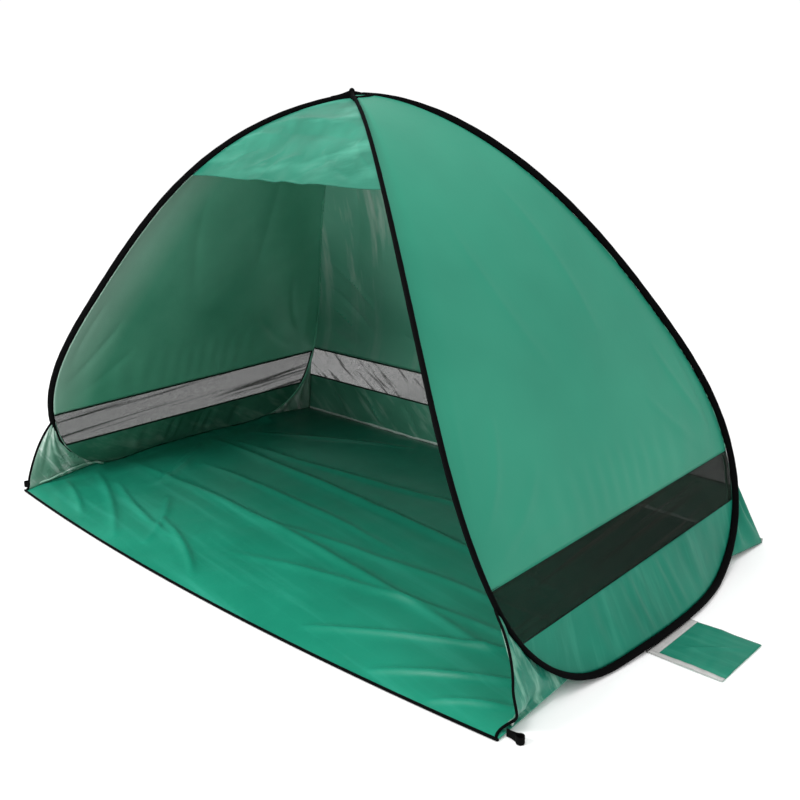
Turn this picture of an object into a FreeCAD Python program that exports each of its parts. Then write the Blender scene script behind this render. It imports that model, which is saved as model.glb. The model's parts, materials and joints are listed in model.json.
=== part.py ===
import FreeCAD, Part
import math
import os

from FreeCAD import Vector

# Pop-up beach shelter: one spring-wire figure of eight that crosses itself over the door, in black
# fabric sleeves. Each half of the eight leans outwards and carries a side wall; the visor, the back
# wall and the ground sheet are stretched between the two halves.
# Millimetres. +X is to the right of someone looking in at the door, +Y is towards the back, +Z is up.
# The origin is on the ground under the middle of the ground sheet.

# ---- driving dimensions ----
FLOOR_WIDTH = 2000.0
FLOOR_DEPTH = 1280.0
FRONT_EDGE_BOW = 66.0           # the ground sheet's front edge curves forward of its corners
FLOOR_WAIST = 15.0              # the hoops draw the ground sheet's sides in by this much
FLOOR_STRAIGHT = 716.0          # over this length in the middle of each side
CROWN_HEIGHT = 1276.0           # centre of the crossing wires
CROWN_Y = -67.0                 # the crossing is a little in front of the middle
WIRE_RADIUS = 2.0
SLEEVE_RADIUS = 8.0
SLEEVE_BORE = 5.0               # room for the wire and its ferrule
CLOTH = 1.0                     # thickness of every fabric panel
PIPING_RADIUS = 4.0             # folded edge tape
CORNER_ROOM = 12.0              # the floor's pipings stop this far from its corners
SEAM_GAP = 0.5                  # left between pieces that are sewn together
SLEEVE_SEAM_GAP = 1.5           # left between a sleeve and the cloth that it is sewn to
CROWN_CLEARANCE = 32.0          # the sleeves of the two sides stop this far from the fold axis
WRAP_REACH = 24.0               # and the crown's wrap stays this close to it

# ---- right half of the wire: down the front leg, along the ground and up the rear leg ----
FRONT_LEG = [                   # shoulder, thigh, knee, shin and heel, from the crossing down
    (345, -320, 1100),
    (665, -515, 700),
    (900, -585, 300),
    (960, -525, 145),
    (1020, -345, 16),
]
REAR_LEG = [
    (395, 210, 1090),
    (700, 440, 700),
    (895, 570, 300),
    (950, 535, 130),
    (1015, 330, 16),
]
GROUND_RUN_X = 1050.0           # how far out the hoop lies at the middle of its run on the ground
GROUND_RUN_Y = 185.0            # it touches the ground for this far to the front and to the back
GROUND_RUN_BOW = 8.0            # and curves inwards by this much on the way
GROUND_RUN_Z = SLEEVE_RADIUS + 2.5  # with room for the curve to dip on its way round the heels

# ---- heights of the strips in each wall ----
PANEL_TOP = CROWN_HEIGHT - SLEEVE_RADIUS
SIDE_WINDOW = (150.0, 286.0)    # measured at the rear strand
SIDE_WINDOW_DIP = 16.0          # the window runs this much lower at the front strand
BACK_WINDOW = (170.0, 305.0)
VISOR_EDGE = 1062.0
TAPE_WIDTH = 10.0
SIDE_PANEL_BOTTOM = 26.0
ROW_SPACING = 60.0              # the walls are shaped by threads about this far apart
LOW_ROW_SPACING = 20.0          # closer below the windows, where the hoop turns along the ground
BACK_WALL_LEAVES_HOOP = 250.0   # below this the back wall's edge runs straight to the rear corner

# ---- small parts ----
FERRULE_RADIUS = 3.6
FERRULE_BORE = 2.2
FERRULE_LENGTH = 40.0
FLAP_LENGTH = 176.0
FLAP_WIDTH = 210.0
FLAP_Y = -35.0                  # the middle of the flap's sewn edge
FLAP_INNER_X = 1066.0
FLAP_HEM = 14.0
PEG_EYE_RADIUS = 6.0
PEG_EYE_X = 1036.0
PEG_LOOP_Y = -630.0
PEG_LOOP_INNER_X = 1009.0
WEBBING_WIDTH = 12.0
WEBBING_THICKNESS = 1.5
GUSSET_TOP = 262.0              # the front gussets' piping leaves the hoop here
GUSSET_BELLY = (1012, -626, 112)  # and bows out past the floor's corner on its way down
GUSSET_CLOTH_TOP = 236.0        # the gussets' cloth starts here on the hoop
GUSSET_CLOTH_FOOT = 40.0        # and ends here, where the hoop turns along the ground
GUSSET_THREADS = 7
FRONT_GUSSET_SPAN = (0.10, 0.90)  # the part of the piping that the cloth is sewn to
REAR_GUSSET_SPAN = (0.14, 0.94)   # the part of the back wall's low edge that it is sewn to
FLAP_CORNER = 4.0
NUB_RADIUS = 4.0
NUB_HEIGHT = 4.0

# ---- numbers for the arithmetic ----
HALVINGS = 50                   # of a search interval, which leaves far less than a micron
EDGE_STEP = 0.01                # the share of an edge that its direction is read over
LEAST_SINE_SQUARED = 1e-4       # keeps a seam's inset finite where two lines nearly run together
SAME_PLACE = 1e-6


# ---- the wire's line ----
def ground_run():
    """Start, middle and end of the stretch that lies on the ground, which bows gently outwards."""
    ends_x = GROUND_RUN_X - GROUND_RUN_BOW
    return [(ends_x, -GROUND_RUN_Y, GROUND_RUN_Z), (GROUND_RUN_X, 0, GROUND_RUN_Z),
            (ends_x, GROUND_RUN_Y, GROUND_RUN_Z)]


def figure_of_eight():
    """A closed spline through both halves, and the parameters of the right half's points."""
    crown = (0, CROWN_Y, CROWN_HEIGHT)
    right = [Vector(*p) for p in [crown] + FRONT_LEG + ground_run() + REAR_LEG[::-1]]
    left = [Vector(-p.x, p.y, p.z) for p in right]
    points = right + left
    parameters = [0.0]
    for a, b in zip(points, points[1:] + points[:1]):
        parameters.append(parameters[-1] + (b - a).Length)
    curve = Part.BSplineCurve()
    curve.interpolate(Points=points, PeriodicFlag=True, Parameters=parameters)
    return curve, parameters[:len(right) + 1]


HOOP, STATIONS = figure_of_eight()
RUN_START = len(FRONT_LEG) + 1  # the stations of the run on the ground
RUN_END = RUN_START + 2
T_GROUND = STATIONS[RUN_START + 1]  # the run's middle, where the wire's ends are crimped


def tangent_at(t):
    return HOOP.tangent(t)[0]


def find(low, high, reached):
    """The parameter between low and high where reached(t) turns true."""
    for _ in range(HALVINGS):
        middle = (low + high) / 2
        if reached(middle):
            high = middle
        else:
            low = middle
    return (low + high) / 2


def front_at(z):
    """The parameter where the front strand of the right hoop passes height z."""
    return find(STATIONS[0], STATIONS[RUN_START], lambda t: HOOP.value(t).z <= z)


def rear_at(z):
    return find(STATIONS[RUN_END], STATIONS[-1], lambda t: HOOP.value(t).z >= z)


def arc_through(start, corner, end):
    """The arc tangent to start-corner and corner-end, which are equally long."""
    chord_middle = (start + end) / 2
    half_chord = (end - start).Length / 2
    rise = corner - chord_middle
    turn = math.atan2(rise.Length, half_chord)
    sagitta = half_chord * math.tan(turn / 2)
    return Part.Arc(start, chord_middle + rise * (sagitta / rise.Length), end).toShape()


def halved(parameters):
    """The same parameters with one more in the middle of each gap."""
    middles = [(a + b) / 2 for a, b in zip(parameters, parameters[1:])]
    return sorted(parameters + middles)


def smooth_path(parameters):
    """A chain of tangent arcs that follows the hoop, two arcs from each parameter to the next."""
    edges = []
    for t0, t1 in zip(parameters, parameters[1:]):
        p0, p1 = HOOP.value(t0), HOOP.value(t1)
        d0, d1 = tangent_at(t0), tangent_at(t1)
        span, both = p1 - p0, d0 + d1
        spread = 2 * (1 - d0.dot(d1))
        along = span.dot(both)
        reach = (math.sqrt(along ** 2 + spread * span.dot(span)) - along) / spread
        q0, q1 = p0 + d0 * reach, p1 - d1 * reach
        joint = (q0 + q1) / 2
        edges.append(arc_through(p0, q0, joint))
        edges.append(arc_through(joint, q1, p1))
    return Part.Wire(edges)


def tube(path, radius):
    """A round bar along a path."""
    start = path.Edges[0]
    direction = start.tangentAt(start.FirstParameter)
    section = Part.Wire(Part.makeCircle(radius, start.valueAt(start.FirstParameter), direction))
    return path.makePipeShell([section], True, False)


# ---- fabric ----
def unit(v):
    return v / v.Length


def inset(point, tangent, towards, distance):
    """The point moved towards another until it is that distance from the line it lay on."""
    way = unit(towards - point)
    across = math.sqrt(max(1 - way.dot(tangent) ** 2, LEAST_SINE_SQUARED))
    return point + way * (distance / across)


def curve_through(points):
    curve = Part.BSplineCurve()
    curve.interpolate(points)
    return curve.toShape()


def ruled_panel(side_a, side_b, thickness=CLOTH):
    """A thin sheet with straight threads from each point of side_a to the same one of side_b."""
    last = len(side_a) - 1
    skins = ([[], []], [[], []])
    for i, (a, b) in enumerate(zip(side_a, side_b)):
        before, after = max(i - 1, 0), min(i + 1, last)
        for end, (here, side) in enumerate(((a, side_a), (b, side_b))):
            run = side[after] - side[before]
            normal = unit((b - a).cross(run)) * (thickness / 2)
            skins[0][end].append(here + normal)
            skins[1][end].append(here - normal)
    (top_a, top_b), (low_a, low_b) = [[curve_through(s) for s in skin] for skin in skins]
    faces = [
        Part.makeRuledSurface(top_a, top_b),
        Part.makeRuledSurface(low_a, low_b),
        Part.makeRuledSurface(top_a, low_a),
        Part.makeRuledSurface(top_b, low_b),
    ]
    for row in (0, last):
        top = Part.makeLine(skins[0][0][row], skins[0][1][row])
        low = Part.makeLine(skins[1][0][row], skins[1][1][row])
        faces.append(Part.makeRuledSurface(top, low))
    shell = Part.makeShell(faces)
    shell.sewShape()
    solid = Part.makeSolid(shell)
    if solid.Volume < 0:
        solid.reverse()
    return solid


def heights(low, high, spacing):
    """Rows from high to low, closer together near the crown, where the walls turn level."""
    count = max(3, round((high - low) / spacing) + 1)
    top, bottom = math.sqrt(CROWN_HEIGHT - high), math.sqrt(CROWN_HEIGHT - low)
    steps = [top + (bottom - top) * i / (count - 1) for i in range(count)]
    return [CROWN_HEIGHT - s * s for s in steps]


EDGE = SLEEVE_RADIUS + SLEEVE_SEAM_GAP


def dip(z):
    """How much lower than z the side wall's thread ends at the front: most at the window."""
    share = z / SIDE_WINDOW[1]
    if share > 1:
        share = (CROWN_HEIGHT - z) / (CROWN_HEIGHT - SIDE_WINDOW[1])
    return SIDE_WINDOW_DIP * share


def side_row(z):
    """The ends of the side wall's thread at a height, just inside the sleeves."""
    tf, tr = front_at(z - dip(z)), rear_at(z)
    front, rear = HOOP.value(tf), HOOP.value(tr)
    return inset(front, tangent_at(tf), rear, EDGE), inset(rear, tangent_at(tr), front, EDGE)


def across_row(t):
    """A thread from side to side between the two hoops, at the hoop's parameter t."""
    point = HOOP.value(t)
    mirrored = Vector(-point.x, point.y, point.z)
    right = inset(point, tangent_at(t), mirrored, EDGE)
    return Vector(-right.x, right.y, right.z), right


def back_row(z):
    """The back wall's thread. Low down it runs out past the hoops to the rear corners."""
    if z >= BACK_WALL_LEAVES_HOOP:
        return across_row(rear_at(z))
    hoop_end = across_row(rear_at(BACK_WALL_LEAVES_HOOP))[1]
    corner = Vector(FLOOR_WIDTH / 2 - SEAM_GAP, FLOOR_DEPTH / 2, 0)
    right = corner + (hoop_end - corner) * (z / BACK_WALL_LEAVES_HOOP)
    return Vector(-right.x, right.y, right.z), right


def visor_row(z):
    return across_row(front_at(z))


def wall_strip(row, low, high, spacing=ROW_SPACING):
    """The piece of a wall between two heights."""
    rows = [row(z) for z in heights(low, high, spacing)]
    return ruled_panel([r[0] for r in rows], [r[1] for r in rows])


def flat_tape(row, z):
    """The tape over a seam at this height: a straight flat strip whose ends follow the sleeves."""
    low, high = row(z - TAPE_WIDTH / 2), row(z + TAPE_WIDTH / 2)
    corners = [low[0], low[1], high[1], high[0]]
    centre = (corners[0] + corners[1] + corners[2] + corners[3]) / 4
    normal = unit((corners[2] - corners[0]).cross(corners[3] - corners[1]))
    flat = [p - normal * (p - centre).dot(normal) - normal * (CLOTH / 2) for p in corners]
    return Part.Face(Part.makePolygon(flat + flat[:1])).extrude(normal * CLOTH)


def split_wall(row, bottom, window, top):
    """Lower panel, window and upper panel of a wall, with a tape over each seam of the window."""
    clear = TAPE_WIDTH / 2 + SEAM_GAP
    low, high = window
    return {
        "lower_panel": wall_strip(row, bottom, low - clear, LOW_ROW_SPACING),
        "window_lower_tape": flat_tape(row, low),
        "mesh_window": wall_strip(row, low + clear, high - clear),
        "window_upper_tape": flat_tape(row, high),
        "upper_panel": wall_strip(row, high + clear, top),
    }


# ---- right side: everything that is sewn to the right hoop ----
def hoop_parts():
    """Wire, ferrule and sleeve. The wire is open at the crossing, where the two sides fold."""
    start = find(STATIONS[0], STATIONS[1], lambda t: HOOP.value(t).x >= CROWN_CLEARANCE)
    end = find(STATIONS[-2], STATIONS[-1], lambda t: HOOP.value(t).x <= CROWN_CLEARANCE)
    path = smooth_path(halved(halved([start] + STATIONS[1:-1] + [end])))
    half = FERRULE_LENGTH / 2
    crimp = smooth_path([T_GROUND - half, T_GROUND, T_GROUND + half])
    return {
        "frame_wire": tube(path, WIRE_RADIUS),
        "wire_ferrule": tube(crimp, FERRULE_RADIUS).cut(tube(crimp, FERRULE_BORE)),
        "frame_sleeve": tube(path, SLEEVE_RADIUS).cut(tube(path, SLEEVE_BORE)),
    }


def gusset(edge_line, hoop_parameters, edge_gap):
    """The triangle of cloth from a free edge line back to the hoop's lower corner."""
    outer, inner = [], []
    last = len(hoop_parameters) - 1
    for i, t in enumerate(hoop_parameters):
        share = i / last
        a, b = edge_line(share), HOOP.value(t)
        run = unit(edge_line(min(share + EDGE_STEP, 1)) - edge_line(min(share, 1 - EDGE_STEP)))
        outer.append(inset(a, run, b, edge_gap))
        inner.append(inset(b, tangent_at(t), a, EDGE))
    return ruled_panel(outer, inner)


def spread(first, last, count):
    return [first + (last - first) * i / (count - 1) for i in range(count)]


def front_gusset_parts():
    """Front gusset and the piping along its free edge, which bows outwards."""
    t_top = front_at(GUSSET_TOP)
    root = HOOP.value(t_top)
    belly = Vector(*GUSSET_BELLY)
    foot = Vector(FLOOR_WIDTH / 2 + PIPING_RADIUS, -FLOOR_DEPTH / 2, 2 * PIPING_RADIUS)
    start = inset(root, tangent_at(t_top), belly, EDGE + PIPING_RADIUS)
    arc = Part.Arc(start, belly, foot)
    piping = tube(Part.Wire(arc.toShape()), PIPING_RADIUS)

    length = arc.LastParameter - arc.FirstParameter
    first, last = [arc.FirstParameter + length * share for share in FRONT_GUSSET_SPAN]

    def free_edge(share):
        return arc.value(first + (last - first) * share)

    hoop_edge = spread(front_at(GUSSET_CLOTH_TOP), front_at(GUSSET_CLOTH_FOOT), GUSSET_THREADS)
    cloth = gusset(free_edge, hoop_edge, PIPING_RADIUS + SEAM_GAP)
    return {"front_gusset": cloth, "front_gusset_piping": piping}


def rear_gusset_parts():
    """Rear gusset, sewn to the low edge of the back wall where that runs out past the hoop."""
    top = across_row(rear_at(BACK_WALL_LEAVES_HOOP))[1]
    corner = Vector(FLOOR_WIDTH / 2 - SEAM_GAP, FLOOR_DEPTH / 2, 0)

    start, end = [top + (corner - top) * share for share in REAR_GUSSET_SPAN]

    def wall_edge(share):
        return start + (end - start) * share

    hoop_edge = spread(rear_at(GUSSET_CLOTH_TOP), rear_at(GUSSET_CLOTH_FOOT), GUSSET_THREADS)
    return {"rear_gusset": gusset(wall_edge, hoop_edge, 2 * SEAM_GAP + CLOTH)}


def rounded_plate(x0, y0, x1, y1, thickness, corner):
    """A flat plate on the ground with its two outer corners rounded."""
    plate = Part.makeBox(x1 - x0, y1 - y0, thickness, Vector(x0, y0, 0))
    outer = [e for e in plate.Edges if all(abs(v.X - x1) < SAME_PLACE for v in e.Vertexes)
             and abs(e.Vertexes[0].Z - e.Vertexes[1].Z) > thickness / 2]
    return plate.makeFillet(corner, outer)


def flap_parts():
    """The flap that sand or a peg holds down, lying flat outside the hoop, and its hem tape."""
    y0, y1 = FLAP_Y - FLAP_WIDTH / 2, FLAP_Y + FLAP_WIDTH / 2
    x1 = FLAP_INNER_X + FLAP_LENGTH
    cloth = rounded_plate(FLAP_INNER_X + FLAP_HEM + SEAM_GAP, y0 + FLAP_HEM + SEAM_GAP,
                          x1, y1, CLOTH, FLAP_CORNER)
    inner_band = Part.makeBox(FLAP_HEM, FLAP_WIDTH, CLOTH, Vector(FLAP_INNER_X, y0, 0))
    front_band = Part.makeBox(FLAP_LENGTH, FLAP_HEM, CLOTH, Vector(FLAP_INNER_X, y0, 0))
    hem = inner_band.fuse(front_band).removeSplitter()
    return {"sand_flap": cloth, "sand_flap_hem": hem}


def peg_loop_parts():
    """Webbing folded round a ground peg, standing on its edge at the front corner."""
    eye = Vector(PEG_EYE_X, PEG_LOOP_Y, SEAM_GAP)
    outer = PEG_EYE_RADIUS + WEBBING_THICKNESS
    ring = Part.makeCylinder(outer, WEBBING_WIDTH, eye)
    tail_length = PEG_EYE_X - PEG_EYE_RADIUS - WEBBING_THICKNESS / 2 - PEG_LOOP_INNER_X
    tail = Part.makeBox(tail_length, 2 * WEBBING_THICKNESS, WEBBING_WIDTH,
                        Vector(PEG_LOOP_INNER_X, PEG_LOOP_Y - WEBBING_THICKNESS, SEAM_GAP))
    hole = Part.makeCylinder(PEG_EYE_RADIUS, WEBBING_WIDTH, eye)
    return {"peg_loop": ring.fuse(tail).cut(hole).removeSplitter()}


# ---- pieces that span the two sides ----
def crown_wrap():
    """The stitched tape that holds the two strands where they cross, one over the other."""
    crown = HOOP.value(STATIONS[0])
    over = tangent_at(STATIONS[0])
    under = Vector(-over.x, over.y, over.z)
    lift = Vector(0, 0, SLEEVE_RADIUS - SEAM_GAP)
    bars = []
    for direction, centre in ((over, crown + lift), (under, crown - lift)):
        foot = centre - direction * WRAP_REACH
        bars.append(Part.makeCylinder(SLEEVE_RADIUS, 2 * WRAP_REACH, foot, direction))
    nub = Part.makeCylinder(NUB_RADIUS, SLEEVE_RADIUS + NUB_HEIGHT, crown + lift)
    room = Part.makeCylinder(WRAP_REACH, 4 * WRAP_REACH, crown - Vector(0, 2 * WRAP_REACH, 0),
                             Vector(0, 1, 0))
    return bars[0].fuse([bars[1], nub]).common(room).removeSplitter()


def front_edge(half_width, back_off, z):
    """The bowed line of the ground sheet's front edge, moved back by back_off."""
    corner_y = -FLOOR_DEPTH / 2 + back_off
    share = (half_width / (FLOOR_WIDTH / 2)) ** 2
    end_y = corner_y - FRONT_EDGE_BOW * (1 - share)
    return Part.Arc(Vector(-half_width, end_y, z), Vector(0, corner_y - FRONT_EDGE_BOW, z),
                    Vector(half_width, end_y, z))


def ground_sheet():
    """Flat sheet with its sides drawn in under the hoops and its front edge bowed forward."""
    half = FLOOR_WIDTH / 2 - SEAM_GAP
    back_off = PIPING_RADIUS + SEAM_GAP
    end = FLOOR_DEPTH / 2 - back_off
    waist, waist_y = half - FLOOR_WAIST, FLOOR_STRAIGHT / 2
    front = front_edge(half, back_off, 0)
    side = [(waist, -waist_y), (waist, waist_y), (half, end)]
    outline = side + [(-x, y) for x, y in reversed(side)]
    rest = Part.makePolygon([front.EndPoint] + [Vector(x, y, 0) for x, y in outline]
                            + [front.StartPoint])
    face = Part.Face(Part.Wire([front.toShape()] + rest.Edges))
    return face.extrude(Vector(0, 0, CLOTH))


def floor_edge_tapes():
    half = FLOOR_WIDTH / 2 - CORNER_ROOM
    front = tube(Part.Wire(front_edge(half, 0, PIPING_RADIUS).toShape()), PIPING_RADIUS)
    rear = Part.makeCylinder(PIPING_RADIUS, 2 * half,
                             Vector(-half, FLOOR_DEPTH / 2, PIPING_RADIUS), Vector(1, 0, 0))
    return {"front_floor_piping": front, "rear_floor_piping": rear}


def shared_parts():
    half_tape = TAPE_WIDTH / 2
    parts = {
        "crown_wrap": crown_wrap(),
        "ground_sheet": ground_sheet(),
        "visor_hem": wall_strip(visor_row, VISOR_EDGE - half_tape, VISOR_EDGE + half_tape),
        "visor_panel": wall_strip(visor_row, VISOR_EDGE + half_tape + SEAM_GAP, PANEL_TOP),
    }
    parts.update(floor_edge_tapes())
    back = split_wall(back_row, 2 * PIPING_RADIUS + SEAM_GAP, BACK_WINDOW, PANEL_TOP)
    parts.update({"back_" + name: shape for name, shape in back.items()})
    return parts


def right_parts():
    parts = hoop_parts()
    parts.update(split_wall(side_row, SIDE_PANEL_BOTTOM, SIDE_WINDOW, PANEL_TOP))
    parts.update(front_gusset_parts())
    parts.update(rear_gusset_parts())
    parts.update(flap_parts())
    parts.update(peg_loop_parts())
    return parts


def save(name, shape):
    solids = shape.Solids
    for solid in solids:
        if not solid.isValid() or solid.Volume <= 0:
            raise RuntimeError(name + " is not a sound solid")
    whole = solids[0] if len(solids) == 1 else Part.makeCompound(solids)
    whole.exportStep("parts/" + name + ".step")
    print(name, len(solids), round(shape.Volume / 1000, 2), "cm3")


def main():
    os.makedirs("parts", exist_ok=True)
    for name, shape in right_parts().items():
        save("right_" + name, shape)
        save("left_" + name, shape.mirror(Vector(0, 0, 0), Vector(1, 0, 0)))
    for name, shape in shared_parts().items():
        save(name, shape)


main()
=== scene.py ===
import json
import math

import bpy
import numpy as np
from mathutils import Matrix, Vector


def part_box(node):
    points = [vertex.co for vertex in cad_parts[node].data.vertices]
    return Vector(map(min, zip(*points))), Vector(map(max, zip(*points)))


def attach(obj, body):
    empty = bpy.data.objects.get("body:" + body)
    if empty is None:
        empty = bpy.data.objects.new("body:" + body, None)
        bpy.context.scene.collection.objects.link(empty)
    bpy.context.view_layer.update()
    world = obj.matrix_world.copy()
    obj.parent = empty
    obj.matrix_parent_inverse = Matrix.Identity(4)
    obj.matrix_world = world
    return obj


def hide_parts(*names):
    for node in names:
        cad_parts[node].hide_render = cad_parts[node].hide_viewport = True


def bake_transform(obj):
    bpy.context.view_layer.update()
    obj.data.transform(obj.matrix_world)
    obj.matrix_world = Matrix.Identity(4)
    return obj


# A pop-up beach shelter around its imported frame. Metres, in the CAD's own axes: +X right, +Y to the
# back, +Z up. The two wire hoops' lines are read from the CAD wires, and every sheet hangs on them.

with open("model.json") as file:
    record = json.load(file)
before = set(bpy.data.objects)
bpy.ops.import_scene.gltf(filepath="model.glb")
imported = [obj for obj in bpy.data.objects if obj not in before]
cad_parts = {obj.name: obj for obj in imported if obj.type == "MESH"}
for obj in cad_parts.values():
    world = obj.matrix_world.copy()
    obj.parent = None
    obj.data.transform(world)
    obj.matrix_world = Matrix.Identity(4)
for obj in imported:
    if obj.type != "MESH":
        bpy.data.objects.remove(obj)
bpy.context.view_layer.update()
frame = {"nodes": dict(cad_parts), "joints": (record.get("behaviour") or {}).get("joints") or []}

# ---- driving values ----
SLEEVE_WIDTH = 0.0195           # the flattened sleeve, measured outwards
SLEEVE_THICK = 0.0125
SEAM_GAP = 0.0005               # from the sleeve's inner edge to the cloth's edge
FRONT_NARROW = 0.62             # the sleeve is drawn tighter towards the crown, more so in front
REAR_NARROW = 0.80
FRONT_TAPER = 0.80              # over these lengths
REAR_TAPER = 0.30
CLOTH = 0.0012
TAPE_WIDTH = 0.010              # of the CAD's tapes over the window seams
PIPING = 0.0036
BINDING_WIDTH = 0.0065          # of the folded tape over a window's seams, which is on the inside only
BINDING_THICK = 0.0026
BINDING_INSIDE = 0.0012
CROSSING_HALF = 0.055           # the crossing strands reach this far from the fold's axis
FULL_TURN = 2 * math.pi
HOOP_WIRE = 0.004               # its diameter in the CAD
HOOP_STEP = 0.006               # between the points of a hoop's line
CORE_TOP = 0.45                 # outwards is away from an upright line in the middle, up to this height
SECTION = 20                    # points round a bar
NETTING = 0.0006                # thick
FLOOR_REST = 0.0022             # the floor cloth's middle is this high where it lies flat
GROUND_SIZE = 14.0              # of the stage's ground, which is just under the part
GROUND_LEVEL = -0.0006
OCTAVES = 3                     # of the smooth noise, with this many waves in each
WAVES = 6
WAVE_LEVEL = 0.7
CREASE_POWER = 1.35             # how sharp a fold's ridge is


# ---- reading the frame ----
def vertices(node):
    mesh = frame["nodes"][node].data
    flat = np.zeros(len(mesh.vertices) * 3)
    mesh.vertices.foreach_get("co", flat)
    return flat.reshape(-1, 3)


def joint_place(name):
    return np.array(next(j for j in frame["joints"] if j["name"] == name)["pos_m"], float)


CROWN = joint_place("fold")
FOLD_HEIGHT = CROWN[2]


def centre_line(node, diameter):
    """The middle line of a CAD bar, from the rings of its mesh, starting at its highest front end."""
    loose = np.unique(np.round(vertices(node), 5), axis=0)
    rings = []
    while len(loose):
        near = np.linalg.norm(loose - loose[0], axis=1) < diameter * 1.08
        rings.append(loose[near].mean(0))
        loose = loose[~near]
    rings = np.array(rings)
    start = np.argmax(rings[:, 2] - rings[:, 1] - np.abs(rings[:, 0]))
    order = [start]
    left = np.ones(len(rings), bool)
    left[start] = False
    while left.any():
        gaps = np.where(left, np.linalg.norm(rings - rings[order[-1]], axis=1), np.inf)
        order.append(int(gaps.argmin()))
        left[order[-1]] = False
    return rings[order]


def unit(v):
    return v / np.maximum(np.linalg.norm(v, axis=-1, keepdims=True), 1e-12)


def lengths_along(points):
    return np.concatenate([[0], np.cumsum(np.linalg.norm(np.diff(points, axis=0), axis=1))])


def smooth_line(points, spacing):
    """Even points on the cubic through these points."""
    apart = np.linalg.norm(np.diff(points, axis=0), axis=1) > 1e-4
    points = points[np.concatenate([[True], apart])]
    s = lengths_along(points)
    slopes = np.gradient(points, s, axis=0)
    even = np.linspace(0, s[-1], max(3, int(round(s[-1] / spacing)) + 1))
    i = np.clip(np.searchsorted(s, even, side="right") - 1, 0, len(s) - 2)
    h = (s[i + 1] - s[i])[:, None]
    t = (even[:, None] - s[i][:, None]) / h
    return ((2 * t**3 - 3 * t**2 + 1) * points[i] + (t**3 - 2 * t**2 + t) * h * slopes[i]
            + (3 * t**2 - 2 * t**3) * points[i + 1] + (t**3 - t**2) * h * slopes[i + 1])


class Hoop:
    """One side's hoop: its line, the way out of the tent along it, and the seam inside the sleeve."""

    def __init__(self, side):
        self.side = side
        self.sign = 1 if side == "right" else -1
        wire = centre_line(side + "_frame_wire", HOOP_WIRE)
        line = smooth_line(np.vstack([CROWN, wire, CROWN]), HOOP_STEP)
        along = unit(np.gradient(line, axis=0))
        core = np.zeros_like(line)
        core[:, 2] = np.minimum(line[:, 2], CORE_TOP)
        out = line - core
        out = unit(out - (out * along).sum(1, keepdims=True) * along)
        s = lengths_along(line)
        at_front = FRONT_NARROW + (1 - FRONT_NARROW) * np.clip(s / FRONT_TAPER, 0, 1)
        at_rear = REAR_NARROW + (1 - REAR_NARROW) * np.clip((s[-1] - s) / REAR_TAPER, 0, 1)
        self.line, self.out = line, out
        self.size = np.minimum(at_front, at_rear)
        self.seam = line - out * (SLEEVE_WIDTH / 2 * self.size + SEAM_GAP)[:, None]
        self.seam[[0, -1]] = CROWN - np.array([0, 0, SLEEVE_WIDTH / 2 * FRONT_NARROW + SEAM_GAP])
        low = int(np.abs(line[:, 0]).argmax())
        self.front = self.seam[:low + 1]
        self.rear = self.seam[low:][::-1]
        self.front_key = self.heights(self.front)
        self.rear_key = self.heights(self.rear)

    @staticmethod
    def heights(strand):
        """A height that always falls from the crown to the ground, for finding places on a strand."""
        s = lengths_along(strand)
        falling = np.minimum.accumulate(strand[:, 2])
        crown_part = 0.005 - 0.05 * np.minimum(s, 0.1)
        return falling + crown_part - 1e-5 * s

    def at(self, strand, z):
        """The strand's points at these heights."""
        line, key = (self.front, self.front_key) if strand == "front" else (self.rear, self.rear_key)
        z = np.atleast_1d(z)
        return np.stack([np.interp(-z, -key, line[:, k]) for k in range(3)], axis=1)


HOOPS = {side: Hoop(side) for side in ("right", "left")}
CROWN_KEY = HOOPS["right"].front_key[0]


# ---- making meshes ----
def collection_add(mesh, name):
    piece = bpy.data.objects.new(name, mesh)
    bpy.context.scene.collection.objects.link(piece)
    return piece


def grid_faces(rows, columns, closed=False):
    """The faces of a grid, which is a tube if its columns are closed."""
    r, c = np.meshgrid(np.arange(rows - 1), np.arange(columns if closed else columns - 1), indexing="ij")
    r1, c1 = r + 1, (c + 1) % columns
    return np.stack([r * columns + c, r * columns + c1, r1 * columns + c1, r1 * columns + c],
                    axis=-1).reshape(-1, 4)


def mesh_piece(name, points, faces, materials, indices=None):
    mesh = bpy.data.meshes.new(name)
    mesh.from_pydata(points.tolist(), [], faces.tolist())
    for material in materials:
        mesh.materials.append(material)
    if indices is not None:
        mesh.polygons.foreach_set("material_index", indices.astype(np.int32))
    mesh.polygons.foreach_set("use_smooth", np.ones(len(faces), bool))
    mesh.update()
    mesh.validate()
    return collection_add(mesh, name)


def grid_normals(grid):
    du, dv = np.gradient(grid, axis=1), np.gradient(grid, axis=0)
    normal = np.cross(du, dv)
    size = np.linalg.norm(normal, axis=-1, keepdims=True)
    normal = np.where(size > 1e-10, normal / np.maximum(size, 1e-12), 0)
    bad = size[..., 0] <= 1e-10
    if bad.any():
        normal[bad] = unit(normal[~bad].mean(0))
    return normal


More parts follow.
